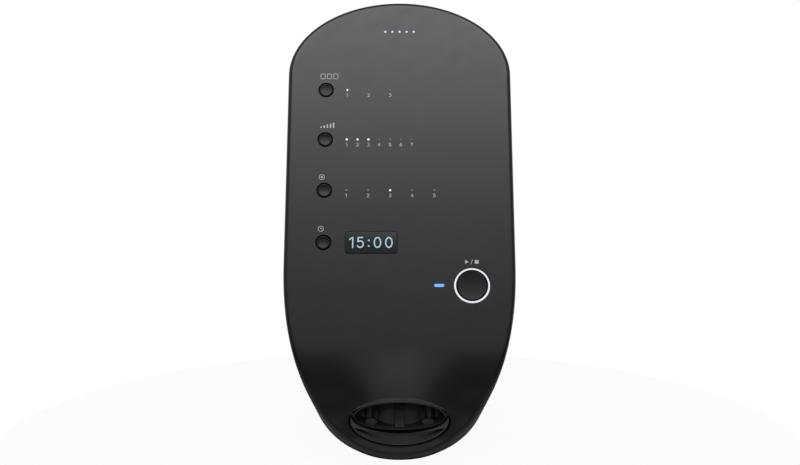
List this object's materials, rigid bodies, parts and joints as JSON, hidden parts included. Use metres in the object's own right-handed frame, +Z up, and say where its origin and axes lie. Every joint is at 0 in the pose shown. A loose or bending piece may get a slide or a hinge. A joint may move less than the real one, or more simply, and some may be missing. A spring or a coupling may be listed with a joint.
{
  "type": "compression therapy pump",
  "caption": "Table-top air pump for compression therapy sleeves: leaning control face with buttons and lights over an oval hose port, and a pump, valves and battery inside.",
  "frame": {"origin": "middle of the bounding box at its base, on the table under the feet", "axes": "+X to the right as seen from the front, -Y out of the face towards the user, +Z up"},
  "size_m": [0.1086, 0.127, 0.216],
  "materials": {
    "cover_black": "satin",
    "housing_black": "fine grained",
    "button_black": "satin",
    "window_grey": "polished, tinted",
    "display_black": "satin",
    "ring_white": "diffusing, lit from behind",
    "light_blue": "clear, lit from behind",
    "foot_rubber": "matt",
    "board_green": "solder mask",
    "steel": "zinc plated",
    "mount_rubber": "matt",
    "chassis_grey": "moulded",
    "pump_ivory": "moulded",
    "silicone": "smooth, translucent",
    "pack_blue": "shrink wrap",
    "inlet_black": "moulded"
  },
  "bodies": {
    "pump_body": {"start_ring_lens": "ring_white", "display_window": "window_grey", "display_module": "display_black", "attachment_light_pipe": "light_blue", "pressure_light_pipe": "light_blue", "zone_light_pipe": "light_blue", "battery_light_pipe": "light_blue", "status_light_pipe": "light_blue", "control_board": "board_green", "power_board": "board_green", "board_screw_1": "steel", "chassis_screw_1": "steel", "solenoid_valve_1": "steel", "port_hose_1": "silicone", "board_screw_2": "steel", "chassis_screw_2": "steel", "solenoid_valve_2": "steel", "port_hose_2": "silicone", "board_screw_3": "steel", "chassis_screw_3": "steel", "solenoid_valve_3": "steel", "port_hose_3": "silicone", "board_screw_4": "steel", "chassis_screw_4": "steel", "solenoid_valve_4": "steel", "port_hose_4": "silicone", "pump_hose": "silicone", "chassis": "chassis_grey", "front_cover": "cover_black", "port_socket": "cover_black", "rear_housing": "housing_black", "battery_door": "housing_black", "battery_pack": "pack_blue", "foot_front_left": "foot_rubber", "foot_front_right": "foot_rubber", "foot_rear_left": "foot_rubber", "foot_rear_right": "foot_rubber", "port_insert": "inlet_black", "dc_inlet": "inlet_black", "pump_mount_front": "mount_rubber", "pump_mount_back": "mount_rubber", "pump_diaphragm": "mount_rubber", "pump_motor": "steel", "pump_crankcase": "pump_ivory", "pump_head": "pump_ivory", "valve_manifold": "pump_ivory"},
    "start_stop_button_body": {"start_stop_button": "button_black"},
    "power_button_body": {"power_button": "button_black"},
    "pump_shaft_body": {"pump_shaft": "steel"},
    "pump_rod_body": {"pump_rod": "pump_ivory"},
    "attachment_button_body": {"attachment_button": "button_black"},
    "pressure_button_body": {"pressure_button": "button_black"},
    "zone_button_body": {"zone_button": "button_black"},
    "time_button_body": {"time_button": "button_black"},
    "valve_plunger_1_body": {"valve_plunger_1": "steel"},
    "valve_plunger_2_body": {"valve_plunger_2": "steel"},
    "valve_plunger_3_body": {"valve_plunger_3": "steel"},
    "valve_plunger_4_body": {"valve_plunger_4": "steel"}
  },
  "joints": [
    {"name": "attachment_button_press", "type": "slide", "parent": "pump_body", "child": "attachment_button_body", "axis": [0, 0.9272, -0.3746], "range_m": [0, 0.0008], "stiffness_N_per_m": 900, "springref_m": -0.0006},
    {"name": "pressure_button_press", "type": "slide", "parent": "pump_body", "child": "pressure_button_body", "axis": [0, 0.9272, -0.3746], "range_m": [0, 0.0008], "stiffness_N_per_m": 900, "springref_m": -0.0006},
    {"name": "zone_button_press", "type": "slide", "parent": "pump_body", "child": "zone_button_body", "axis": [0, 0.9272, -0.3746], "range_m": [0, 0.0008], "stiffness_N_per_m": 900, "springref_m": -0.0006},
    {"name": "time_button_press", "type": "slide", "parent": "pump_body", "child": "time_button_body", "axis": [0, 0.9272, -0.3746], "range_m": [0, 0.0008], "stiffness_N_per_m": 900, "springref_m": -0.0006},
    {"name": "start_stop_button_press", "type": "slide", "parent": "pump_body", "child": "start_stop_button_body", "axis": [0, 0.9272, -0.3746], "range_m": [0, 0.0008], "stiffness_N_per_m": 900, "springref_m": -0.0006},
    {"name": "power_button_press", "type": "slide", "parent": "pump_body", "child": "power_button_body", "axis": [0, -0.9962, -0.0872], "range_m": [0, 0.0008], "stiffness_N_per_m": 900, "springref_m": -0.0006},
    {"name": "pump_shaft_spin", "type": "hinge", "parent": "pump_body", "child": "pump_shaft_body", "pos_m": [0.0065, 0.01665, 0.0306], "axis": [1, 0, 0], "continuous": true},
    {"name": "pump_rod_stroke", "type": "slide", "parent": "pump_body", "child": "pump_rod_body", "axis": [0, 0, 1], "range_m": [-0.001, 0.001], "stiffness_N_per_m": 400},
    {"name": "valve_plunger_1_lift", "type": "slide", "parent": "pump_body", "child": "valve_plunger_1_body", "axis": [0, 0, 1], "range_m": [0, 0.001], "stiffness_N_per_m": 300, "springref_m": -0.001},
    {"name": "valve_plunger_2_lift", "type": "slide", "parent": "pump_body", "child": "valve_plunger_2_body", "axis": [0, 0, 1], "range_m": [0, 0.001], "stiffness_N_per_m": 300, "springref_m": -0.001},
    {"name": "valve_plunger_3_lift", "type": "slide", "parent": "pump_body", "child": "valve_plunger_3_body", "axis": [0, 0, 1], "range_m": [0, 0.001], "stiffness_N_per_m": 300, "springref_m": -0.001},
    {"name": "valve_plunger_4_lift", "type": "slide", "parent": "pump_body", "child": "valve_plunger_4_body", "axis": [0, 0, 1], "range_m": [0, 0.001], "stiffness_N_per_m": 300, "springref_m": -0.001}
  ]
}
